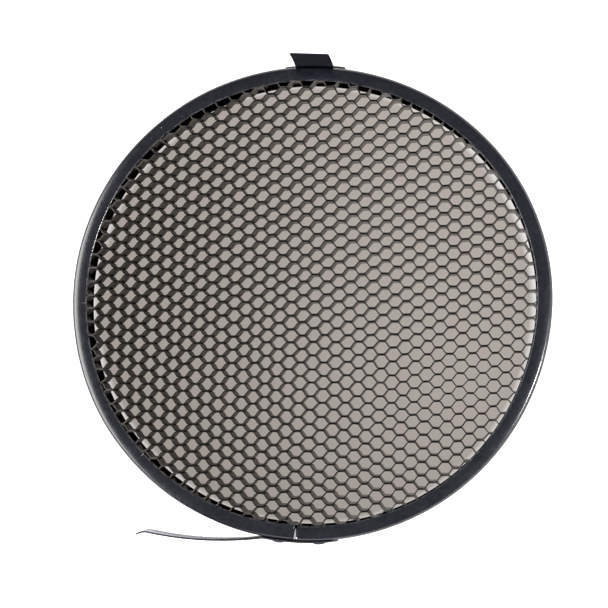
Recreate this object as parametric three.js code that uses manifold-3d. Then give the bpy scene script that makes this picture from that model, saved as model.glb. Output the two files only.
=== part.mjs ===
// A round honeycomb grid that clips into the mouth of a studio light's reflector.
// Millimetres, +Z up. The grid lies on its back flange with its front face up: +Z runs along
// the cells towards the subject, and the origin is the ring's centre on the back flange's plane.

import * as THREE from 'three';
import { mergeGeometries, mergeVertices } from 'three/addons/utils/BufferGeometryUtils.js';
import Module from 'manifold-3d';

const wasm = await Module();
wasm.setup();

const degrees = (angle) => THREE.MathUtils.degToRad(angle);

// ---- driving dimensions ------------------------------------------------------------------

const GAP = 0.25; // clearance between neighbouring solids that touch on the real object

const RING_RADIUS = 85; // mean outside radius of the rolled channel
const RING_DEPTH = 13.5;
const RING_SHEET = 1.0; // thickness of the channel's web and flanges
const RING_EDGE = 0.9; // outside bend radius of the channel
const RING_STEPS = 96;
const BEND_STEPS = 2;
const FLANGE_WIDTH = 5.2;
const OVAL = 0.6; // the ring is rolled slightly oval: radius + OVAL on the long axis
const OVAL_AXIS = degrees(12);

const SEAM_ANGLE = degrees(266.7); // where the channel's two ends butt together
const SEAM_WIDTH = 0.9;
const SEAM_SPREAD = degrees(4); // the ends lie out of parallel, open towards the outside

const CORE_RADIUS = 81.9;
const CORE_RIM = 0.8; // crushed edge of the honeycomb
const CELL_PITCH = 9.57; // across flats, two real cells wide
const CELL_WALL = 0.3;
const CELL_ORIGIN = new THREE.Vector2(-2.37, 0.11);

const SPRING_SHEET = 0.5;
const SPRING_WIDTH = 9.8;
const SPRING_BACK = 1.6; // height of the strip's back edge above the back flange
const SPRING_BASE_START = degrees(259.9);
const SPRING_BASE_END = degrees(276.6);
const ARM_ROOT = new THREE.Vector2(-16.9, -83.6); // middle of the strip at the bend
const ARM_HEADING = degrees(187.2);
const ARM_RADIUS = 127;
const ARM_LENGTH = 41.5;
const TIP_RADIUS = 6; // the tip curls away from the ring
const TIP_LENGTH = 4.6;

const RIVET_ANGLES = { rivet_left: degrees(262.2), rivet_right: degrees(272) };
const RIVET_SHANK = 1.5;
const RIVET_HEAD = 2.5;
const RIVET_HEAD_HEIGHT = 0.9;
const RIVET_TAIL = 2.1;
const RIVET_TAIL_HEIGHT = 0.6;
const RIVET_SIDES = 16;

const TAB_ANGLE = degrees(88.9);
const TAB_WIDTH = 13.2;
const TAB_SHEET = 0.5;
const TAB_BACK = 2.2; // height of the tab's clamped end above the back flange
const TAB_TOP = 34.4;
const TAB_LEAN = 0.5; // how far the free end stands outside the foot
const TAB_FOLD = RING_DEPTH + 0.8; // height of the line that the tab folds about
const TAB_CORNER = 0.8;
const CORNER_STEPS = 4;
const PLATE_WIDTH = 21.5;
const PLATE_DEPTH = 6.4;
const PLATE_SHEET = 0.4;
const PLATE_SLOPE = degrees(0.9); // the plate's ends are ground to a slope

// ---- materials ---------------------------------------------------------------------------

function finish(color, roughness, metalness) {
  return new THREE.MeshStandardMaterial({ color, roughness, metalness });
}

const PAINT = { color: 0x24262b, roughness: 0.42, metalness: 0.3 };
const paintedSteel = () => finish(PAINT.color, PAINT.roughness, PAINT.metalness);
const anodisedFoil = () => finish(0x4a433c, 0.5, 0.8);
const springSteel = () => finish(0x8b8a93, 0.3, 1.0);
const tabVinyl = () => finish(0x101014, 0.6, 0.0);

// ---- helpers -----------------------------------------------------------------------------

function solidOf(geometry) {
  const bare = geometry.clone();
  for (const name of Object.keys(bare.attributes)) {
    if (name !== 'position') bare.deleteAttribute(name);
  }
  const merged = mergeVertices(bare, 1e-5);
  return new wasm.Manifold(new wasm.Mesh({
    numProp: 3,
    vertProperties: new Float32Array(merged.attributes.position.array),
    triVerts: new Uint32Array(merged.index.array),
  }));
}

function geometryOf(solid) {
  const { vertProperties, triVerts } = solid.getMesh();
  const geometry = new THREE.BufferGeometry();
  geometry.setAttribute('position', new THREE.BufferAttribute(vertProperties, 3));
  geometry.setIndex(new THREE.BufferAttribute(triVerts, 1));
  geometry.computeVertexNormals();
  return geometry;
}

function ovalOffset(angle) {
  return OVAL * Math.cos(2 * (angle - OVAL_AXIS));
}

// Moves each point outwards or inwards so that a round piece follows the oval ring.
function followOval(geometry) {
  const position = geometry.attributes.position;
  for (let i = 0; i < position.count; i += 1) {
    const x = position.getX(i);
    const y = position.getY(i);
    const stretch = 1 + ovalOffset(Math.atan2(y, x)) / RING_RADIUS;
    position.setXY(i, x * stretch, y * stretch);
  }
  geometry.computeVertexNormals();
  return geometry;
}

function prism(shape, bottom, top) {
  const depth = top - bottom;
  const settings = { depth, bevelEnabled: false, curveSegments: CORNER_STEPS };
  return new THREE.ExtrudeGeometry(shape, settings).translate(0, 0, bottom);
}

function arcPoints(radius, start, end, steps) {
  return Array.from({ length: steps + 1 }, (_, i) => {
    const angle = start + (end - start) * (i / steps);
    return new THREE.Vector2(radius * Math.cos(angle), radius * Math.sin(angle));
  });
}

// A flat band bent to an arc about the ring's axis, standing on its edge. Its outer face is
// shorter than its inner one by the slope at each end.
function arcBand(inner, sheet, start, end, steps, slope = 0) {
  const outside = arcPoints(inner + sheet, start + slope, end - slope, steps);
  const inside = arcPoints(inner, start, end, steps).reverse();
  return new THREE.Shape([...outside, ...inside]);
}

// A cylinder whose axis points away from the ring's axis at the given angle and height.
function radialCylinder(radius, from, to, angle, height) {
  const geometry = new THREE.CylinderGeometry(radius, radius, to - from, RIVET_SIDES);
  geometry.rotateZ(-Math.PI / 2);
  geometry.translate((from + to) / 2, 0, height);
  return geometry.rotateZ(angle);
}

function piece(name, geometry, material) {
  const mesh = new THREE.Mesh(geometry, material);
  mesh.name = name;
  return mesh;
}

// ---- ring --------------------------------------------------------------------------------

function channelProfile() {
  const profile = new THREE.Path();
  const inner = RING_RADIUS - FLANGE_WIDTH;
  const bend = RING_RADIUS - RING_EDGE;
  profile.moveTo(inner, 0);
  profile.lineTo(bend, 0);
  profile.absarc(bend, RING_EDGE, RING_EDGE, -Math.PI / 2, 0);
  profile.absarc(bend, RING_DEPTH - RING_EDGE, RING_EDGE, 0, Math.PI / 2);
  profile.lineTo(inner, RING_DEPTH);
  profile.lineTo(inner, RING_DEPTH - RING_SHEET);
  profile.lineTo(RING_RADIUS - RING_SHEET, RING_DEPTH - RING_SHEET);
  profile.lineTo(RING_RADIUS - RING_SHEET, RING_SHEET);
  profile.lineTo(inner, RING_SHEET);
  profile.lineTo(inner, 0);
  return profile.getPoints(BEND_STEPS);
}

function seamCutter() {
  const half = SEAM_WIDTH / 2;
  const from = RING_RADIUS - 2 * FLANGE_WIDTH;
  const to = RING_RADIUS + FLANGE_WIDTH;
  const spread = (to - RING_RADIUS + FLANGE_WIDTH) * Math.tan(SEAM_SPREAD);
  const slot = new THREE.Shape();
  slot.moveTo(from, -half / 2);
  slot.lineTo(to, -half - spread);
  slot.lineTo(to, half);
  slot.lineTo(from, half / 2);
  return prism(slot, -RING_DEPTH, 2 * RING_DEPTH).rotateZ(SEAM_ANGLE);
}

function rivetHeight() {
  return SPRING_BACK + SPRING_WIDTH / 2;
}

function rivetHole(angle) {
  const from = RING_RADIUS - FLANGE_WIDTH;
  const to = RING_RADIUS + FLANGE_WIDTH;
  return solidOf(radialCylinder(RIVET_SHANK + GAP, from, to, angle, rivetHeight()));
}

function ringChannel() {
  const lathe = new THREE.LatheGeometry(channelProfile(), RING_STEPS);
  lathe.rotateX(Math.PI / 2);
  let ring = solidOf(lathe).subtract(solidOf(seamCutter()));
  for (const angle of Object.values(RIVET_ANGLES)) {
    ring = ring.subtract(rivetHole(angle));
  }
  return piece('ring_channel', followOval(geometryOf(ring)), paintedSteel());
}

// ---- honeycomb ---------------------------------------------------------------------------

function cellPrism(x, y, bottom, top) {
  const radius = (CELL_PITCH - CELL_WALL) / Math.sqrt(3);
  const cell = new THREE.CylinderGeometry(radius, radius, top - bottom, 6);
  cell.rotateX(Math.PI / 2);
  cell.rotateZ(Math.PI / 2);
  return cell.translate(x, y, (bottom + top) / 2);
}

function cellCentres(reach) {
  const centres = [];
  const across = (CELL_PITCH * Math.sqrt(3)) / 2;
  const count = Math.ceil(reach / across) + 1;
  for (let column = -count; column <= count; column += 1) {
    for (let row = -2 * count; row <= 2 * count; row += 1) {
      const x = CELL_ORIGIN.x + column * across;
      const y = CELL_ORIGIN.y + (row + column / 2) * CELL_PITCH;
      if (Math.hypot(x, y) < reach) centres.push([x, y]);
    }
  }
  return centres;
}

function honeycombCore() {
  const bottom = RING_SHEET + GAP;
  const top = RING_DEPTH - RING_SHEET - GAP;
  const open = CORE_RADIUS - CORE_RIM;
  const disc = new THREE.CylinderGeometry(CORE_RADIUS, CORE_RADIUS, top - bottom, RING_STEPS);
  disc.rotateX(Math.PI / 2).translate(0, 0, (top + bottom) / 2);
  const mouth = new THREE.CylinderGeometry(open, open, 2 * RING_DEPTH, RING_STEPS / 2);
  mouth.rotateX(Math.PI / 2);
  const cells = cellCentres(open + CELL_PITCH / 4)
    .map(([x, y]) => cellPrism(x, y, -1, RING_DEPTH + 1));
  const openings = solidOf(mergeGeometries(cells)).intersect(solidOf(mouth));
  const core = solidOf(disc).subtract(openings);
  return piece('honeycomb_core', followOval(geometryOf(core)), anodisedFoil());
}

// ---- leaf spring and its rivets ----------------------------------------------------------

function springBase() {
  const band = arcBand(RING_RADIUS + GAP, SPRING_SHEET, SPRING_BASE_START, SPRING_BASE_END, 12);
  let base = solidOf(prism(band, SPRING_BACK, SPRING_BACK + SPRING_WIDTH));
  for (const angle of Object.values(RIVET_ANGLES)) {
    base = base.subtract(rivetHole(angle));
  }
  return piece('spring_base', followOval(geometryOf(base)), springSteel());
}

// Walks along bends of given length and radius, and returns both edges of the strip.
function stripOutline(start, heading, sheet, bends) {
  const left = [];
  const right = [];
  const at = start.clone();
  let angle = heading;
  const mark = () => {
    const normal = new THREE.Vector2(-Math.sin(angle), Math.cos(angle));
    left.push(at.clone().addScaledVector(normal, sheet / 2));
    right.push(at.clone().addScaledVector(normal, -sheet / 2));
  };
  mark();
  for (const { length, radius, steps } of bends) {
    const stride = length / steps;
    for (let i = 0; i < steps; i += 1) {
      angle += stride / radius / 2;
      at.add(new THREE.Vector2(stride * Math.cos(angle), stride * Math.sin(angle)));
      angle += stride / radius / 2;
      mark();
    }
  }
  return new THREE.Shape([...left, ...right.reverse()]);
}

function springArm() {
  const outline = stripOutline(ARM_ROOT, ARM_HEADING, SPRING_SHEET, [
    { length: ARM_LENGTH, radius: -ARM_RADIUS, steps: 14 },
    { length: TIP_LENGTH, radius: TIP_RADIUS, steps: 4 },
  ]);
  const strip = prism(outline, SPRING_BACK, SPRING_BACK + SPRING_WIDTH);
  return piece('spring_arm', strip, springSteel());
}

function rivetProfile() {
  const seat = RING_RADIUS + GAP + SPRING_SHEET + GAP;
  const tail = RING_RADIUS - RING_SHEET - GAP;
  const dome = new THREE.Path();
  dome.moveTo(0, tail - RIVET_TAIL_HEIGHT);
  dome.lineTo(RIVET_TAIL, tail - RIVET_TAIL_HEIGHT);
  dome.lineTo(RIVET_TAIL, tail);
  dome.lineTo(RIVET_SHANK, tail);
  dome.lineTo(RIVET_SHANK, seat);
  dome.lineTo(RIVET_HEAD, seat);
  dome.absellipse(0, seat, RIVET_HEAD, RIVET_HEAD_HEIGHT, 0, Math.PI / 2);
  return dome.getPoints(2);
}

function rivet(name, angle) {
  const geometry = new THREE.LatheGeometry(rivetProfile(), RIVET_SIDES);
  geometry.translate(0, ovalOffset(angle), 0);
  geometry.rotateZ(angle - Math.PI / 2);
  geometry.translate(0, 0, rivetHeight());
  return piece(name, geometryOf(solidOf(geometry)), springSteel());
}

// ---- pull tab ----------------------------------------------------------------------------

function halfAngle(width) {
  return Math.asin(width / 2 / RING_RADIUS);
}

function tabRoot() {
  const half = halfAngle(TAB_WIDTH);
  const band = arcBand(RING_RADIUS + GAP, TAB_SHEET, TAB_ANGLE - half, TAB_ANGLE + half, 8);
  const root = prism(band, TAB_BACK, TAB_FOLD - TAB_SHEET);
  return piece('tab_root', followOval(root), tabVinyl());
}

function tabPlate() {
  const half = halfAngle(PLATE_WIDTH);
  const inner = RING_RADIUS + GAP + TAB_SHEET + GAP;
  const start = TAB_ANGLE - half;
  const band = arcBand(inner, PLATE_SHEET, start, TAB_ANGLE + half, 12, PLATE_SLOPE);
  const plate = prism(band, TAB_BACK, TAB_BACK + PLATE_DEPTH);
  return piece('tab_plate', followOval(plate), paintedSteel());
}

function pullTab() {
  const bottom = TAB_FOLD + TAB_SHEET;
  const height = TAB_TOP - bottom;
  const half = TAB_WIDTH / 2;
  const face = new THREE.Shape();
  face.moveTo(-half, 0);
  face.lineTo(half, 0);
  face.lineTo(half, height - TAB_CORNER);
  face.absarc(half - TAB_CORNER, height - TAB_CORNER, TAB_CORNER, 0, Math.PI / 2);
  face.absarc(-half + TAB_CORNER, height - TAB_CORNER, TAB_CORNER, Math.PI / 2, Math.PI);
  const strap = prism(face, -TAB_SHEET / 2, TAB_SHEET / 2);
  strap.rotateX(Math.PI / 2 - Math.atan2(TAB_LEAN, height));
  const middle = RING_RADIUS + ovalOffset(TAB_ANGLE) + GAP + TAB_SHEET / 2;
  const tab = piece('pull_tab', strap, tabVinyl());
  tab.rotation.z = TAB_ANGLE - Math.PI / 2;
  tab.position.set(middle * Math.cos(TAB_ANGLE), middle * Math.sin(TAB_ANGLE), bottom);
  return tab;
}

// ---- assembly ----------------------------------------------------------------------------

const group = new THREE.Group();
group.add(ringChannel(), honeycombCore());

const spring = new THREE.Group();
spring.add(springBase(), springArm());
for (const [name, angle] of Object.entries(RIVET_ANGLES)) {
  spring.add(rivet(name, angle));
}
group.add(spring);

const tab = new THREE.Group();
tab.add(tabRoot(), tabPlate(), pullTab());
group.add(tab);

export default group;
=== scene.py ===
"""A round honeycomb grid for a studio reflector, lying face up on a pale floor. Metres."""

import math

import bpy
from mathutils import Matrix, Vector, noise


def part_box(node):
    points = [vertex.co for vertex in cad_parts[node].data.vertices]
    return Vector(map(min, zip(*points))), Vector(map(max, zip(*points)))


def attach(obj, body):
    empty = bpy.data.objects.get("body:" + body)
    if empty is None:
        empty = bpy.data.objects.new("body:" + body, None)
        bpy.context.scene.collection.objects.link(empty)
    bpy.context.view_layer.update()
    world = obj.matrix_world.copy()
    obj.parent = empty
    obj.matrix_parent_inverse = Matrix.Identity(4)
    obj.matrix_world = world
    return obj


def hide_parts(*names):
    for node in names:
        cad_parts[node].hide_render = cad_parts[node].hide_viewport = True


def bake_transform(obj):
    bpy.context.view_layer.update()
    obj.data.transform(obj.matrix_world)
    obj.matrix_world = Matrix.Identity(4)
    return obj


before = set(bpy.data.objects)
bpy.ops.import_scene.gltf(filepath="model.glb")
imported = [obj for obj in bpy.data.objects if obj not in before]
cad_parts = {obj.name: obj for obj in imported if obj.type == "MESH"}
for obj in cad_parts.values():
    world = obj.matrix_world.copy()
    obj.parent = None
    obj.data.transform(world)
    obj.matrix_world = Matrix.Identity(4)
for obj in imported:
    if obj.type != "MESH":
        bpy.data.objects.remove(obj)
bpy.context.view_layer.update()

noise.seed_set(5)
MM = 0.001

# ---- sizes ---------------------------------------------------------------------------------

RING_LOW, RING_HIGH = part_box("ring_channel")
RING_RADIUS = (RING_HIGH.x - RING_LOW.x + RING_HIGH.y - RING_LOW.y) / 4
RING_DEPTH = RING_HIGH.z
RING_SHEET = 1.0 * MM
RING_KNUCKLE = 0.45 * MM
RING_BEND = 4.2 * MM
RING_SWELL = 0.2 * MM
FLANGE_WIDTH = 5.2 * MM
FLANGE_FLAT = 1.0 * MM
LIP_STEPS = 4
FLANGE_STEPS = 12
KNUCKLE_STEPS = 6
BEND_STEPS = 8
# The flange is crowned to the first slope, the tight knuckle takes it to the second one, and the
# wide bend takes it on to the web.
FLANGE_SLOPE = math.radians(15)
BEND_SLOPE = math.radians(50)
LIP = 0.2 * MM
LIP_WEAR = 0.05
INNER_EDGE_WEAR = 0.2
RING_STEPS = 540
OVAL = 0.6 * MM
OVAL_AXIS = math.radians(12)
ROLLING_WAVES = 0.12 * MM
# Where the ring is bent out or in: (angle, distance in mm, angle either side that it fades over).
RING_BENDS = [(18, 0.4, 16), (78, -0.3, 10), (147, 0.15, 12), (338, -0.25, 12)]

SEAM_ANGLE = math.radians(266.7)
SEAM_GAP = 1.15 * MM
SEAM_SPREAD = 0.4 * MM
# The end before the seam is stepped in, most at its inner edge, and settles over some distance.
SEAM_STEP = 0.55 * MM
SEAM_STEP_EASE = 0.6
SEAM_SETTLE = 22 * MM
# Extra sections this share of the way round from the cut ends keep the shading there flat.
CUT_SHARE = 0.00004

# The two pieces in the seam, a near-black block that paints the shadow in the gap and the bare end
# over it:
# how far their left and right sides lie from its middle at their inner and outer ends, how low and
# high they reach, and how far from the lip they start and end.
SEAM_SHADOW_LEFT = (-0.9 * MM, -1.2 * MM)
SEAM_SHADOW_RIGHT = (0.8 * MM, 0.8 * MM)
SEAM_SHADOW_HEIGHT = (1.5 * MM, RING_DEPTH - RING_SHEET - 0.1 * MM)
SEAM_SHADOW_REACH = (0.2 * MM, 4.0 * MM)
END_LEFT = (-0.30 * MM, -0.72 * MM)
END_RIGHT = (0.03 * MM, 0.2 * MM)
END_HEIGHT = (RING_DEPTH - RING_SHEET, RING_DEPTH - 0.25 * MM)
END_REACH = (1.0 * MM, 4.6 * MM)
SEAM_DROP = 0.3 * MM

# Chips in the paint of the front flange: x, y, length and width in mm, and heading in degrees.
PAINT_CHIPS = [
    (-45.6, 66.8, 0.5, 0.35, 20),
    (-53.2, 62.9, 0.45, 0.3, 80),
    (-56.8, 59.3, 0.4, 0.3, 0),
    (-59.5, -54.2, 1.3, 0.3, 50),
    (-81.0, 0.0, 2.2, 0.1, 0),
]
CHIP_CORNERS = 8
CHIP_WEAR = 0.45
CHIP_SINK = 0.1 * MM
CHIP_STAND = 0.02 * MM

CORE_LOW, CORE_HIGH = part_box("honeycomb_core")
CORE_RADIUS = 81.9 * MM
CELL_PITCH = 4.805 * MM
CELL_COLUMN = 4.14 * MM
CELL_FLAT = 2.76 * MM
CELL_ORIGIN = Vector((-2.27 * MM, 0.23 * MM))
CELL_SKEW = math.radians(2.4)
CELL_TILT = math.radians(0.3)
CELL_BEND = 0.32 * MM
# The back of the foil leans outwards, from nothing at the middle of the grid to this at its top.
CELL_LEAN = 1.1 * MM
CELL_LEAN_RISE = 1.5
FOIL = 0.37 * MM
FOIL_UNEVEN = 0.06 * MM
FOIL_UNEVEN_SIZE = 3 * MM
EDGE_WEAR_WIDTH = 5 * MM
# The block is expanded further on its left than on its right, so the cells grow to the left and the
# columns bow. Near the rim the ring holds the foil, and the columns and rows turn back.
BLOCK_GROWTH = 2.2 * MM
COLUMN_RETURN = 4.6 * MM
COLUMN_TURN = 1.3 * MM
ROW_RETURN = 1.5 * MM
ROW_CURL = 1.0 * MM
# It is also uneven in patches, in smaller patches, and most of all where the ring crushes it.
PATCH = 14 * MM
PATCH_SHIFT = 0.4 * MM
SMALL_PATCHES = 4
SMALL_PATCH_SHIFT = 0.2 * MM
CRUSHED_PATCHES = 5
CRUSHED_SHIFT = 0.3 * MM
CRUSHED_NEARNESS = 12

SPRING_LOW, SPRING_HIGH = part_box("spring_arm")
SPRING_SHEET = 0.6 * MM
SPRING_CLEARANCE = 0.35 * MM
SPRING_EDGE = 0.08 * MM
# How much narrower the strip is at each side, at its end and at the next two points.
SPRING_END_TRIM = (1.6 * MM, 0.7 * MM, 0.2 * MM)
BASE_STEPS = 24
ARM_STEPS = 40
TIP_STEPS = 10
BASE_START = math.radians(259.9)
BASE_END = math.radians(276.6)
ARM_ROOT = Vector((-16.9 * MM, -83.6 * MM))
ARM_HEADING = math.radians(187.2)
ARM_RADIUS = 127 * MM
ARM_LENGTH = 41.5 * MM
TIP_RADIUS = 6 * MM
TIP_LENGTH = 4.6 * MM

TAB_ANGLE = math.radians(88.75)
TAB_WIDTH = 13.65 * MM
TAB_SHEET = 0.5 * MM
TAB_CLEARANCE = 0.2 * MM
TAB_LEAN = -0.25 * MM
TAB_BOW = 0.2 * MM
TAB_TWIST = math.radians(2.6)
TAB_CORNER = 0.8 * MM
TAB_EDGE = 0.12 * MM
TAB_ACROSS = 24
TAB_UP = 48
PLATE_SHEET = 0.4 * MM
PLATE_CLEARANCE = 0.3 * MM
PLATE_EDGE = 0.1 * MM
PLATE_CORNER = 0.7 * MM
PLATE_CORNER_SHARE = 1 / 12
PLATE_STEPS = 48
# Wear at each point of the plate's section, all of it at the top edge.
PLATE_WEAR = (0.0, 0.0, 0.0, 0.6, 0.8)
PLATE_DROP = 1.2 * MM

PAPER_GLOW = 1.1
PAPER_BOUNCE = 0.06
# Painted shadow of the grid in the floor's glow: the radius it fills and the width it fades over.
SHADE_RADIUS = 78 * MM
SHADE_FADE = 4.5 * MM
FLOOR_HALF = 2.0

LIGHT_DISTANCE = 1.2
LEFT_PANEL = {"azimuth": 187, "tilt": 58, "size": (0.9, 1.2), "power": 48}
RIGHT_PANEL = {"azimuth": 341, "tilt": 62, "size": (0.8, 0.12), "power": 68}
SKY_COLOUR = (1, 0.99, 0.98, 1)
# The sky brightens with height: the two heights, and its strength at each.
SKY_FADE = {"From Min": 0.1, "From Max": 0.85, "To Min": 0.05, "To Max": 0.33}

CAMERA_PLACE = Vector((55.1, -29.2, 630.9)) * MM
CAMERA_TARGET = Vector((-1.75, -0.73, 13.5)) * MM
CAMERA_LENS = 103.6
CAMERA_SENSOR = 36

# ---- mesh helpers --------------------------------------------------------------------------


def oval_offset(angle):
    """How far the slightly oval ring stands out from a round one."""
    return OVAL * math.cos(2 * (angle - OVAL_AXIS))


def polar(radius, angle, z):
    """A point at that radius of the round ring, moved out or in with the oval one."""
    r = radius + oval_offset(angle) * radius / RING_RADIUS
    return Vector((r * math.cos(angle), r * math.sin(angle), z))


def new_object(name, vertices, faces, materials, face_slots=None, smooth=True):
    """A mesh object. A face's slot is the place of its material in the list."""
    mesh = bpy.data.meshes.new(name)
    mesh.from_pydata([tuple(v) for v in vertices], [], faces)
    for material in materials:
        mesh.materials.append(material)
    if face_slots:
        mesh.polygons.foreach_set("material_index", face_slots)
    if smooth:
        mesh.polygons.foreach_set("use_smooth", [True] * len(mesh.polygons))
    mesh.validate()
    mesh.update()
    piece = bpy.data.objects.new(name, mesh)
    bpy.context.scene.collection.objects.link(piece)
    return piece


def loft(rings):
    """A solid through successive closed rings of vertices, all of one count, with both ends capped."""
    count = len(rings[0])
    vertices = [v for ring in rings for v in ring]
    faces = []
    for i in range(len(rings) - 1):
        for j in range(count):
            k = (j + 1) % count
            faces.append((i * count + j, i * count + k, (i + 1) * count + k, (i + 1) * count + j))
    faces.append(tuple(range(count))[::-1])
    last = (len(rings) - 1) * count
    faces.append(tuple(range(last, last + count)))
    return vertices, faces


def arc(centre, radius, start, end, steps):
    """Points on an arc, as (x, y) pairs."""
    angles = [start + (end - start) * i / steps for i in range(steps + 1)]
    return [(centre[0] + radius * math.cos(a), centre[1] + radius * math.sin(a)) for a in angles]


def point_values(piece, name, values):
    """Gives each vertex a number that the piece's material can read."""
    attribute = piece.data.attributes.new(name, "FLOAT", "POINT")
    attribute.data.foreach_set("value", values)


# ---- materials -----------------------------------------------------------------------------

# The Mix node's sockets for colours.
MIX_FACTOR, MIX_A, MIX_B, MIX_RESULT = 0, 6, 7, 2


class Nodes:
    """A short way to write a node tree: each call adds a node and returns its output."""

    def __init__(self, name):
        self.material = bpy.data.materials.new(name)
        self.material.use_nodes = True
        self.tree = self.material.node_tree
        self.shader = self.tree.nodes["Principled BSDF"]

    def add(self, kind, inputs=None, output=0, **settings):
        node = self.tree.nodes.new(kind)
        for key, value in settings.items():
            setattr(node, key, value)
        for key, value in (inputs or {}).items():
            self.plug(value, node.inputs[key])
        return node.outputs[output]

    def plug(self, value, socket):
        if isinstance(value, bpy.types.NodeSocket):
            self.tree.links.new(value, socket)
        else:
            socket.default_value = value

    def set(self, **values):
        """Sets the shader's own sockets. An underscore stands for a space in a socket's name."""
        for key, value in values.items():
            self.plug(value, self.shader.inputs[key.replace("_", " ")])

    def place(self, scale=(1, 1, 1)):
        """The surface's point in the object's own frame, times the scale."""
        point = self.add("ShaderNodeTexCoord", output="Object")
        return self.add("ShaderNodeMapping", {"Vector": point, "Scale": scale})

    def axis(self, name):
        """One coordinate of the surface's point: X, Y or Z."""
        return self.add("ShaderNodeSeparateXYZ", {"Vector": self.place()}, output=name)

    def noise(self, size, detail=3, stretch=(1, 1, 1)):
        """Noise with features about that many metres across."""
        inputs = {"Vector": self.place(stretch), "Scale": 1 / size, "Detail": detail}
        return self.add("ShaderNodeTexNoise", inputs)

    def ramp(self, value, low, high, to_low=0.0, to_high=1.0):
        """Carries low to to_low and high to to_high, and holds still beyond them."""
        names = ("From Min", "From Max", "To Min", "To Max")
        inputs = dict(zip(names, (low, high, to_low, to_high)))
        inputs["Value"] = value
        return self.add("ShaderNodeMapRange", inputs)

    def math(self, operation, a, b=0.0):
        return self.add("ShaderNodeMath", {0: a, 1: b}, operation=operation)

    def mix(self, factor, a, b):
        """The colour that far from a to b."""
        inputs = {MIX_FACTOR: factor, MIX_A: a, MIX_B: b}
        return self.add("ShaderNodeMix", inputs, output=MIX_RESULT, data_type="RGBA")

    def bump(self, height, strength, distance):
        inputs = {"Height": height, "Strength": strength, "Distance": distance}
        return self.add("ShaderNodeBump", inputs)


def painted_metal():
    """Satin black paint, faintly mottled, worn to bare metal where the wear values say."""
    n = Nodes("satin_black_paint")
    blotch = n.noise(9 * MM, 4)
    grain = n.noise(0.35 * MM, 2)
    worn = n.add("ShaderNodeAttribute", output="Fac", attribute_name="wear")
    patchy = n.math("MULTIPLY", worn, n.ramp(n.noise(1.6 * MM, 5), 0.42, 0.62))
    speckle = n.noise(1.5 * MM, 4)
    mottle = n.math("ADD", n.math("MULTIPLY", blotch, 0.5), n.math("MULTIPLY", speckle, 0.5))
    tone = n.ramp(mottle, 0.35, 0.65)
    paint = n.mix(tone, (0.0010, 0.0014, 0.0030, 1), (0.0050, 0.0056, 0.0082, 1))
    bare = (0.42, 0.42, 0.44, 1)
    n.set(Base_Color=n.mix(patchy, paint, bare))
    n.set(Metallic=patchy)
    n.set(Roughness=n.ramp(n.noise(2.5 * MM, 5), 0.3, 0.7, 0.18, 0.24))
    n.set(Normal=n.bump(grain, 0.15, 0.02 * MM))
    return n.material


def bare_metal():
    """Bright cut metal with fine lines across it."""
    n = Nodes("cut_aluminium")
    n.set(Base_Color=n.mix(n.noise(0.8 * MM, 4), (0.40, 0.40, 0.45, 1), (0.58, 0.58, 0.64, 1)))
    n.set(Metallic=1.0, Roughness=0.38)
    n.set(Normal=n.bump(n.noise(0.2 * MM, 2, (1, 1, 6)), 0.4, 0.03 * MM))
    return n.material


def dark_foil(name, dull, bright):
    """Black anodised foil, duller towards the left of the grid than in its middle and right."""
    n = Nodes(name)
    tint = n.noise(14 * MM, 3)
    uneven = n.math("ADD", n.axis("X"), n.math("MULTIPLY", n.noise(9 * MM, 3), 50 * MM))
    polish = n.ramp(uneven, -50 * MM, 45 * MM, dull, bright)
    patches = n.ramp(n.noise(1.2 * MM, 4), 0.3, 0.7, -0.03, 0.03)
    n.set(Base_Color=n.mix(tint, (0.010, 0.008, 0.006, 1), (0.014, 0.012, 0.009, 1)))
    n.set(Roughness=n.math("ADD", polish, patches), Specular_IOR_Level=0.27)
    n.set(Specular_Tint=(1.0, 0.90, 0.80, 1))
    n.set(Normal=n.bump(n.noise(0.5 * MM, 3, (1, 1, 0.15)), 0.3, 0.04 * MM))
    return n.material


def foil_edge():
    """The foil's cut edge: nearly black, rubbed brighter towards the rim."""
    n = Nodes("foil_cut_edge")
    worn = n.add("ShaderNodeAttribute", output="Fac", attribute_name="wear")
    bright = n.mix(n.noise(0.7 * MM, 3), (0.05, 0.046, 0.042, 1), (0.18, 0.17, 0.16, 1))
    n.set(Base_Color=n.mix(worn, (0.002, 0.0018, 0.0015, 1), bright))
    n.set(Metallic=n.ramp(worn, 0, 1, 0.0, 0.8), Roughness=0.6, Specular_IOR_Level=0.05)
    n.set(Normal=n.bump(n.noise(0.15 * MM, 2), 0.3, 0.02 * MM))
    return n.material


def spring_steel():
    """Bright rolled steel with fine streaks along the strip."""
    n = Nodes("spring_steel")
    streaks = n.noise(0.3 * MM, 3, (0.04, 0.3, 1))
    n.set(Base_Color=n.mix(streaks, (0.48, 0.48, 0.54, 1), (0.63, 0.63, 0.70, 1)))
    n.set(Metallic=1.0, Roughness=n.ramp(n.noise(3 * MM, 4), 0.3, 0.7, 0.22, 0.34))
    n.set(Normal=n.bump(streaks, 0.25, 0.02 * MM))
    return n.material


def dark_edge():
    """The blackened steel of the rivets and of the strip's sheared edges."""
    n = Nodes("sheared_dark_edge")
    tone = n.noise(0.6 * MM, 3)
    n.set(Base_Color=n.mix(tone, (0.004, 0.004, 0.006, 1), (0.014, 0.014, 0.018, 1)))
    n.set(Metallic=0.0, Roughness=0.5, Specular_IOR_Level=0.3)
    n.set(Normal=n.bump(n.noise(0.2 * MM, 2), 0.3, 0.02 * MM))
    return n.material


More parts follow.
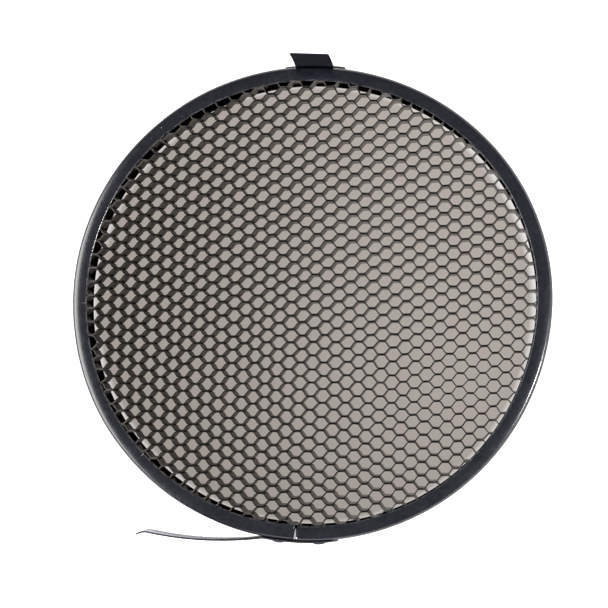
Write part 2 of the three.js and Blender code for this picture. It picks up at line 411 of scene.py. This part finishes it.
def tab_vinyl():
    """Dull black vinyl with a leather grain."""
    n = Nodes("black_vinyl")
    grain = n.add("ShaderNodeTexVoronoi", {"Vector": n.place(), "Scale": 1 / (0.55 * MM)})
    tone = n.noise(4 * MM, 3)
    n.set(Base_Color=n.mix(tone, (0.0020, 0.0020, 0.0045, 1), (0.0045, 0.0045, 0.0080, 1)))
    n.set(Roughness=n.ramp(n.noise(2 * MM, 3), 0.3, 0.7, 0.6, 0.75), Specular_IOR_Level=0.1)
    n.set(Normal=n.bump(grain, 0.35, 0.04 * MM))
    return n.material


def floor_card():
    """White paper that the lamps have bleached out, with the ring's shadow painted into its glow as a
    grey shade under the grid, lighter towards the right and the top.

    The camera sees the white at its full glow, but little of its light reaches the grid.
    """
    n = Nodes("pale_card")
    from_middle = n.add("ShaderNodeVectorMath", {0: n.place()}, output=1, operation="LENGTH")
    outside = n.ramp(from_middle, SHADE_RADIUS, SHADE_RADIUS + SHADE_FADE)
    seen = n.add("ShaderNodeLightPath", output="Is Camera Ray")
    # Painted shadow: the grid's shade on the floor is a grey glow, faintly mottled.
    tint = n.ramp(n.noise(7 * MM, 2), 0.35, 0.65)
    shade = n.mix(tint, (0.382, 0.335, 0.312, 1), (0.366, 0.344, 0.312, 1))
    n.set(Base_Color=n.mix(n.noise(60 * MM, 3), (0.3, 0.3, 0.3, 1), (0.31, 0.31, 0.31, 1)))
    n.set(Emission_Color=n.mix(outside, shade, (1, 1, 1, 1)))
    # Painted light: the painted shadow grows lighter towards the right and towards the top.
    across = n.ramp(n.axis("X"), -40 * MM, 60 * MM, 0.98, 1.13)
    upward = n.ramp(n.axis("Y"), -80 * MM, 80 * MM, 0.91, 1.12)
    shaded = n.math("MULTIPLY", across, upward)
    open_paper = n.ramp(seen, 0, 1, PAPER_BOUNCE, PAPER_GLOW)
    n.set(Emission_Strength=n.ramp(outside, 0, 1, shaded, open_paper))
    n.set(Roughness=0.9)
    n.set(Normal=n.bump(n.noise(0.6 * MM, 3), 0.08, 0.03 * MM))
    return n.material


PAINT = painted_metal()
BARE = bare_metal()
FLAT_FOIL = dark_foil("bonded_foil", 0.52, 0.24)
SLANT_FOIL = dark_foil("stretched_foil", 0.52, 0.29)
FOIL_EDGE = foil_edge()
STEEL = spring_steel()
DARK_EDGE = dark_edge()
VINYL = tab_vinyl()

# ---- ring ----------------------------------------------------------------------------------


def front_profile():
    """(radius, height, wear) from the front flange's lip to the web: lip, crown, knuckle, bend."""
    inner = RING_RADIUS - FLANGE_WIDTH
    top = RING_DEPTH
    lip = arc((inner + LIP, top - LIP), LIP, math.pi, math.pi / 2, LIP_STEPS)
    front = [(x, z, LIP_WEAR) for x, z in lip]
    front.append((inner + 2 * LIP, top, 0.0))
    bend = RING_RADIUS + RING_SWELL - RING_BEND * (1 - math.sin(BEND_SLOPE))
    knuckle = bend - RING_KNUCKLE * (math.sin(BEND_SLOPE) - math.sin(FLANGE_SLOPE))
    crown = inner + FLANGE_FLAT
    reach = knuckle - crown
    drop = reach * math.tan(FLANGE_SLOPE) / 2
    for i in range(FLANGE_STEPS + 1):
        share = i / FLANGE_STEPS
        front.append((crown + reach * share, top - drop * share**2, 0.0))
    knuckle_turn = (RING_KNUCKLE, FLANGE_SLOPE, BEND_SLOPE, KNUCKLE_STEPS)
    bend_turn = (RING_BEND, BEND_SLOPE, math.pi / 2, BEND_STEPS)
    for radius, start, end, steps in (knuckle_turn, bend_turn):
        r, z, _ = front[-1]
        middle = (r - radius * math.sin(start), z - radius * math.cos(start))
        turn = arc(middle, radius, math.pi / 2 - start, math.pi / 2 - end, steps)
        front += [(x, z, 0.0) for x, z in turn[1:]]
    return front


def ring_profile():
    """(radius, height, wear) round the channel's section. The back flange mirrors the front one."""
    inner = RING_RADIUS - FLANGE_WIDTH
    top = RING_DEPTH
    front = front_profile()
    back = [(r, RING_DEPTH - z, w) for r, z, w in reversed(front)]
    inside = [
        (inner, RING_SHEET, INNER_EDGE_WEAR),
        (RING_RADIUS - RING_SHEET, RING_SHEET, 0.0),
        (RING_RADIUS - RING_SHEET, top - RING_SHEET, 0.0),
        (inner, top - RING_SHEET, INNER_EDGE_WEAR),
    ]
    return front + back + inside


def ring_waves(angle):
    """How far the ring is out of true at that angle: waves left by the rolls, and its bends."""
    waves = ROLLING_WAVES * noise.noise(Vector((3 * math.cos(angle), 3 * math.sin(angle), 1)))
    for place, distance, fade in RING_BENDS:
        away = (math.degrees(angle) - place + 180) % 360 - 180
        waves += distance * MM * math.exp(-((away / fade) ** 2) / 2)
    return waves


def make_ring():
    profile = ring_profile()
    half_gap = SEAM_GAP / 2 / RING_RADIUS
    start = SEAM_ANGLE + half_gap
    sweep = math.tau - 2 * half_gap
    inner = RING_RADIUS - FLANGE_WIDTH
    rings, wear = [], []
    even_shares = [i / RING_STEPS for i in range(1, RING_STEPS)]
    shares = [0.0, CUT_SHARE, *even_shares, 1 - CUT_SHARE, 1.0]
    for share in shares:
        angle = start + sweep * share
        before_seam = sweep * (1 - share) * RING_RADIUS
        waves = ring_waves(angle)
        step_in = SEAM_STEP * math.exp(-before_seam / SEAM_SETTLE)
        ring = []
        for r, z, w in profile:
            outward = (r - inner) / FLANGE_WIDTH
            slant = -SEAM_SPREAD * outward / r if share > 1 - 2 * CUT_SHARE else 0.0
            ring.append(polar(r + waves - step_in * (1 - SEAM_STEP_EASE * outward), angle + slant, z))
            wear.append(w)
        rings.append(ring)
    vertices, faces = loft(rings)
    ring = new_object("rolled_channel_ring", vertices, faces, [PAINT])
    point_values(ring, "wear", wear)
    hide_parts("ring_channel")
    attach(ring, "frame")


def seam_piece(name, material, left, right, height, reach):
    """A block standing in the seam, given by how far its sides lie from the seam's middle."""
    rings = []
    steps = 8
    low, high = height
    for i in range(steps + 1):
        share = i / steps
        r = RING_RADIUS - FLANGE_WIDTH + reach[0] + (reach[1] - reach[0]) * share
        drop = SEAM_DROP * share**2
        sides = [SEAM_ANGLE + (a + (b - a) * share) / r for a, b in (left, right)]
        corners = ((0, low), (1, low), (1, high), (0, high))
        rings.append([polar(r, sides[k], z - drop) for k, z in corners])
    vertices, faces = loft(rings)
    block = new_object(name, vertices, faces, [material], smooth=False)
    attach(block, "frame")


def make_seam():
    """A near-black block inside the seam, painted shadow in the gap between the ring's ends, and the
    bright bare end lying over it.
    """
    shadow_block = SEAM_SHADOW_LEFT, SEAM_SHADOW_RIGHT, SEAM_SHADOW_HEIGHT, SEAM_SHADOW_REACH
    # Painted shadow: a near-black block standing in the seam between the ring's ends.
    seam_piece("seam_shadow_block", FOIL_EDGE, *shadow_block)
    seam_piece("seam_end", BARE, END_LEFT, END_RIGHT, END_HEIGHT, END_REACH)


def make_chips():
    """The chips, as thin flakes on the flange with part of their paint worn off."""
    vertices, faces = [], []
    for x, y, length, width, heading in PAINT_CHIPS:
        first = len(vertices)
        a = math.radians(heading)
        for z in (RING_DEPTH - CHIP_SINK, RING_DEPTH + CHIP_STAND):
            for i in range(CHIP_CORNERS):
                t = math.tau * i / CHIP_CORNERS
                along, over = length / 2 * math.cos(t), width / 2 * math.sin(t)
                px = x + along * math.cos(a) - over * math.sin(a)
                py = y + along * math.sin(a) + over * math.cos(a)
                vertices.append((px * MM, py * MM, z))
        upper = first + CHIP_CORNERS
        faces.append(tuple(range(upper - 1, first - 1, -1)))
        faces.append(tuple(range(upper, upper + CHIP_CORNERS)))
        for i in range(CHIP_CORNERS):
            j = (i + 1) % CHIP_CORNERS
            faces.append((first + i, first + j, upper + j, upper + i))
    piece = new_object("paint_chips", vertices, faces, [PAINT], smooth=False)
    point_values(piece, "wear", [CHIP_WEAR] * len(vertices))
    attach(piece, "frame")


# ---- honeycomb -----------------------------------------------------------------------------

# The places of the core's three materials in its list.
FLAT_WALL, SLANT_WALL, CUT_EDGE = 0, 1, 2


def pulled(x, y):
    """Where a point of the regular pattern comes to lie in the expanded foil block."""
    u, v = x / RING_RADIUS, y / RING_RADIUS
    from_centre = u * u + v * v
    growth = Vector((-from_centre, -u * v)) * BLOCK_GROWTH
    aside = COLUMN_RETURN * v**4 + COLUMN_TURN * v**3
    upward = ROW_RETURN * u**3 * v + ROW_CURL * (from_centre**2 - v * v)
    place = Vector((x, y, 0)) / PATCH
    slow = Vector(noise.noise_vector(place)[:2]) * PATCH_SHIFT
    quick = Vector(noise.noise_vector(place * SMALL_PATCHES)[:2]) * SMALL_PATCH_SHIFT
    near_rim = min(1.0, from_centre**CRUSHED_NEARNESS)
    crushed = Vector(noise.noise_vector(place * CRUSHED_PATCHES)[:2]) * CRUSHED_SHIFT * near_rim
    return Vector((x, y)) + growth + Vector((aside, upward)) + slow + quick + crushed


def ribbon_path(row, side):
    """The middle line of one corrugated ribbon. Side is 1 or -1: the way it zigzags from its row."""
    columns = int(RING_RADIUS / CELL_COLUMN) + 2
    corner = CELL_FLAT / 2
    path = []
    for column in range(-columns, columns + 1):
        odd = column % 2
        height = (row + 0.5 + (side * 0.5 if odd else 0.0)) * CELL_PITCH
        offset = FOIL / 2 * side * (-1 if odd else 1)
        x = CELL_ORIGIN.x + column * CELL_COLUMN + height * math.tan(CELL_SKEW)
        y = CELL_ORIGIN.y + height + column * CELL_COLUMN * math.tan(CELL_TILT)
        slope = side * (-1 if odd else 1)
        rise = Vector((CELL_COLUMN - CELL_FLAT, CELL_PITCH / 2)).normalized() * CELL_BEND
        left, right = Vector((x - corner, y + offset)), Vector((x + corner, y + offset))
        path.append(left + Vector((-rise.x, slope * rise.y)))
        path.append(left + Vector((CELL_BEND, 0)))
        path.append(right - Vector((CELL_BEND, 0)))
        path.append(right + Vector((rise.x, slope * rise.y)))
    return path


def runs_inside(path, radius):
    """The stretches of a path that lie inside a circle about the origin."""
    runs, current = [], []
    for a, b in zip(path, path[1:]):
        inside_a, inside_b = a.length < radius, b.length < radius
        if inside_a:
            current.append(a)
        if inside_a != inside_b:
            d = b - a
            half, rest = a.dot(d), a.length_squared - radius * radius
            root = math.sqrt(half * half - d.length_squared * rest)
            t = (-half + (root if inside_a else -root)) / d.length_squared
            current.append(a + d * t)
            if inside_a:
                runs.append(current)
                current = []
    return [run for run in runs if len(run) > 2]


def ribbon_section(path, i):
    """The two edges of the foil at one point of its path."""
    ahead = path[min(i + 1, len(path) - 1)] - path[i]
    behind = path[i] - path[max(i - 1, 0)]
    along = (ahead.normalized() + behind.normalized()).normalized()
    normal = Vector((-along.y, along.x)) * FOIL / 2
    return path[i] + normal, path[i] - normal


def ribbon_solid(run, first):
    """Vertices, faces, face slots and wear of a stretch of foil, numbered from its first vertex."""
    vertices, faces, slots, wear = [], [], [], []
    for i, point in enumerate(run):
        left, right = ribbon_section(run, i)
        uneven = FOIL_UNEVEN * noise.noise(Vector((point.x, point.y, 0)) / FOIL_UNEVEN_SIZE)
        low, high = CORE_LOW.z + uneven, CORE_HIGH.z + uneven
        lean = Vector((0, CELL_LEAN * max(0.0, point.y / RING_RADIUS) ** CELL_LEAN_RISE))
        back = (*(left + lean), low), (*(right + lean), low)
        vertices += [*back, (*right, high), (*left, high)]
        from_rim = CORE_RADIUS - point.length
        wear += [max(0.0, 1 - from_rim / EDGE_WEAR_WIDTH)] * 4
    for i in range(len(run) - 1):
        a, b = first + 4 * i, first + 4 * i + 4
        faces += [(a + j, a + (j + 1) % 4, b + (j + 1) % 4, b + j) for j in range(4)]
        along = run[i + 1] - run[i]
        wall = FLAT_WALL if abs(along.y) < abs(along.x) / 2 else SLANT_WALL
        slots += [CUT_EDGE, wall, CUT_EDGE, wall]
    last = first + 4 * (len(run) - 1)
    faces += [(first + 3, first + 2, first + 1, first), tuple(range(last, last + 4))]
    slots += [CUT_EDGE, CUT_EDGE]
    return vertices, faces, slots, wear


def make_core():
    rows = int(RING_RADIUS / CELL_PITCH) + 2
    vertices, faces, slots, wear = [], [], [], []
    for row in range(-rows, rows + 1):
        for side in (-1, 1):
            path = [pulled(p.x, p.y) for p in ribbon_path(row, side)]
            for run in runs_inside(path, CORE_RADIUS):
                solid = ribbon_solid(run, len(vertices))
                for whole, part in zip((vertices, faces, slots, wear), solid):
                    whole += part
    looks = [FLAT_FOIL, SLANT_FOIL, FOIL_EDGE]
    core = new_object("foil_honeycomb", vertices, faces, looks, slots, False)
    point_values(core, "wear", wear)
    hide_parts("honeycomb_core")
    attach(core, "frame")


# ---- leaf spring and rivets ----------------------------------------------------------------


def strip_path():
    """(point, heading) along the spring, from the right end of its base to the curled tip."""
    radius = RING_RADIUS + SPRING_CLEARANCE + SPRING_SHEET / 2
    path = []
    for i in range(BASE_STEPS + 1):
        angle = BASE_END + (BASE_START - BASE_END) * i / BASE_STEPS
        point = polar(radius, angle, 0)
        path.append((Vector((point.x, point.y)), angle - math.pi / 2))
    at, heading = ARM_ROOT.copy(), ARM_HEADING
    arm = (ARM_LENGTH, -ARM_RADIUS, ARM_STEPS)
    tip = (TIP_LENGTH, TIP_RADIUS, TIP_STEPS)
    for length, curve, steps in (arm, tip):
        stride = length / steps
        for _ in range(steps):
            path.append((at.copy(), heading))
            heading += stride / curve
            at += Vector((math.cos(heading), math.sin(heading))) * stride
    path.append((at.copy(), heading))
    return path


def make_spring():
    low, high = SPRING_LOW.z, SPRING_HIGH.z
    edge = SPRING_EDGE
    path = strip_path()
    rings = []
    for i, (point, heading) in enumerate(path):
        normal = Vector((-math.sin(heading), math.cos(heading)))
        ends = min(i, len(path) - 1 - i)
        narrow = SPRING_END_TRIM[ends] if ends < len(SPRING_END_TRIM) else 0.0
        half = SPRING_SHEET / 2
        section = [
            (half - edge, low + narrow), (half, low + narrow + edge),
            (half, high - narrow - edge), (half - edge, high - narrow),
            (edge - half, high - narrow), (-half, high - narrow - edge),
            (-half, low + narrow + edge), (edge - half, low + narrow),
        ]
        rings.append([(*(point + normal * side), z) for side, z in section])
    vertices, faces = loft(rings)
    slots = [0 if j in (1, 5) else 1 for _ in range(len(rings) - 1) for j in range(8)] + [1, 1]
    spring = new_object("leaf_spring", vertices, faces, [STEEL, DARK_EDGE], slots)
    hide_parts("spring_base", "spring_arm")
    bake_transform(spring)


def make_rivets():
    """The CAD's own rivets, blackened."""
    for name in ("rivet_left", "rivet_right"):
        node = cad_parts[name]
        node.data.materials.clear()
        node.data.materials.append(DARK_EDGE)


# ---- pull tab ------------------------------------------------------------------------------


def strap_section(z, top):
    """The strap's outline at one height: round the ring at its foot, and flat above it."""
    wall = RING_RADIUS + TAB_CLEARANCE + TAB_SHEET / 2
    level = Vector((math.cos(TAB_TWIST), -math.sin(TAB_TWIST), 0))
    lift = max(0.0, (z - RING_DEPTH) / (top - RING_DEPTH))
    from_top = top - z
    inset = 0.0
    if from_top < TAB_CORNER:
        inset = TAB_CORNER - math.sqrt(TAB_CORNER**2 - (TAB_CORNER - from_top) ** 2)
    lean = TAB_LEAN * lift + TAB_BOW * math.sin(lift * math.pi)
    front, back = [], []
    for j in range(TAB_ACROSS + 1):
        side = (j / TAB_ACROSS * 2 - 1) * (TAB_WIDTH / 2 - inset)
        curved = polar(wall, TAB_ANGLE - side / RING_RADIUS, z)
        flat = polar(wall, TAB_ANGLE, z) + level * side
        middle = curved.lerp(flat, min(1.0, lift * 2)) + Vector((0, lean, 0))
        front.append(middle - Vector((0, TAB_SHEET / 2, 0)))
        back.append(middle + Vector((0, TAB_SHEET / 2, 0)))
    return front + back[::-1]


def make_tab():
    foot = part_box("tab_root")[0]
    flap_low, flap_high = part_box("pull_tab")
    heights = [foot.z + (flap_high.z - foot.z) * i / TAB_UP for i in range(TAB_UP + 1)]
    rings = [strap_section(z, flap_high.z) for z in heights]
    vertices, faces = loft(rings)
    tab = new_object("pull_tab_strap", vertices, faces, [VINYL])
    bevel = tab.modifiers.new("edge", "BEVEL")
    bevel.width = TAB_EDGE
    bevel.segments = 2
    bevel.limit_method = "ANGLE"
    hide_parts("tab_root", "pull_tab")
    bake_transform(tab)


def make_plate():
    """The plate riveted over the foot of the tab, bent to the ring's outside."""
    low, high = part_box("tab_plate")
    half = (high.x - low.x) / 2
    middle = math.atan2(high.y, (low.x + high.x) / 2)
    inner = RING_RADIUS + PLATE_CLEARANCE + TAB_SHEET
    outer = inner + PLATE_SHEET
    edge = PLATE_EDGE
    rings = []
    for i in range(PLATE_STEPS + 1):
        share = i / PLATE_STEPS * 2 - 1
        ends = min(1.0, (1 - abs(share)) / PLATE_CORNER_SHARE)
        trim = PLATE_CORNER * (1 - math.sqrt(max(0.0, 1 - (1 - ends) ** 2)))
        bottom, top = low.z + trim, high.z - PLATE_DROP - trim
        outside = [(outer, bottom + edge), (outer, top - 3 * edge), (outer, top - edge)]
        section = [(inner, bottom), *outside, (inner, top)]
        rings.append([polar(r, middle - share * half / RING_RADIUS, z) for r, z in section])
    vertices, faces = loft(rings)
    plate = new_object("clamp_plate", vertices, faces, [PAINT], smooth=False)
    point_values(plate, "wear", list(PLATE_WEAR) * len(rings))
    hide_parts("tab_plate")
    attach(plate, "frame")


# ---- camera, light and floor ---------------------------------------------------------------


def aim(thing, target, up=Vector((0, 1, 0))):
    """Turns a camera or light to look at the target, with its top towards up."""
    back = (thing.location - target).normalized()
    right = up.cross(back).normalized()
    thing.matrix_world = Matrix.LocRotScale(
        thing.location, Matrix((right, back.cross(right), back)).transposed(), None
    )


def make_camera():
    data = bpy.data.cameras.new("camera")
    data.lens = CAMERA_LENS
    data.sensor_width = CAMERA_SENSOR
    camera = bpy.data.objects.new("camera", data)
    bpy.context.scene.collection.objects.link(camera)
    camera.location = CAMERA_PLACE
    aim(camera, CAMERA_TARGET)
    bpy.context.scene.camera = camera


def soft_light(name, azimuth, tilt, size, power):
    """A panel aimed at the grid, tilted that many degrees from straight above it."""
    data = bpy.data.lights.new(name, "AREA")
    data.shape = "RECTANGLE"
    data.size, data.size_y = size
    data.energy = power
    lamp = bpy.data.objects.new(name, data)
    bpy.context.scene.collection.objects.link(lamp)
    a, t = math.radians(azimuth), math.radians(tilt)
    direction = Vector((math.sin(t) * math.cos(a), math.sin(t) * math.sin(a), math.cos(t)))
    lamp.location = direction * LIGHT_DISTANCE
    aim(lamp, Vector((0, 0, 0)))


def make_sky():
    world = bpy.data.worlds.new("studio")
    world.use_nodes = True
    tree = world.node_tree
    direction = tree.nodes.new("ShaderNodeTexCoord").outputs["Generated"]
    split = tree.nodes.new("ShaderNodeSeparateXYZ")
    tree.links.new(direction, split.inputs[0])
    fade = tree.nodes.new("ShaderNodeMapRange")
    tree.links.new(split.outputs["Z"], fade.inputs["Value"])
    for name, value in SKY_FADE.items():
        fade.inputs[name].default_value = value
    background = tree.nodes["Background"]
    background.inputs["Color"].default_value = SKY_COLOUR
    tree.links.new(fade.outputs["Result"], background.inputs["Strength"])
    bpy.context.scene.world = world


def make_floor():
    signs = ((-1, -1), (1, -1), (1, 1), (-1, 1))
    corners = [(FLOOR_HALF * x, FLOOR_HALF * y, 0) for x, y in signs]
    floor = new_object("floor", corners, [(0, 1, 2, 3)], [floor_card()])


def make_studio():
    soft_light("left_panel", **LEFT_PANEL)
    soft_light("right_panel", **RIGHT_PANEL)
    make_sky()
    make_floor()


# The default view transform can't reach the photograph's white without eating thin outlines.
bpy.context.scene.view_settings.view_transform = "Standard"
make_camera()
make_studio()
make_ring()
make_seam()
make_chips()
make_core()
make_spring()
make_rivets()
make_tab()
make_plate()
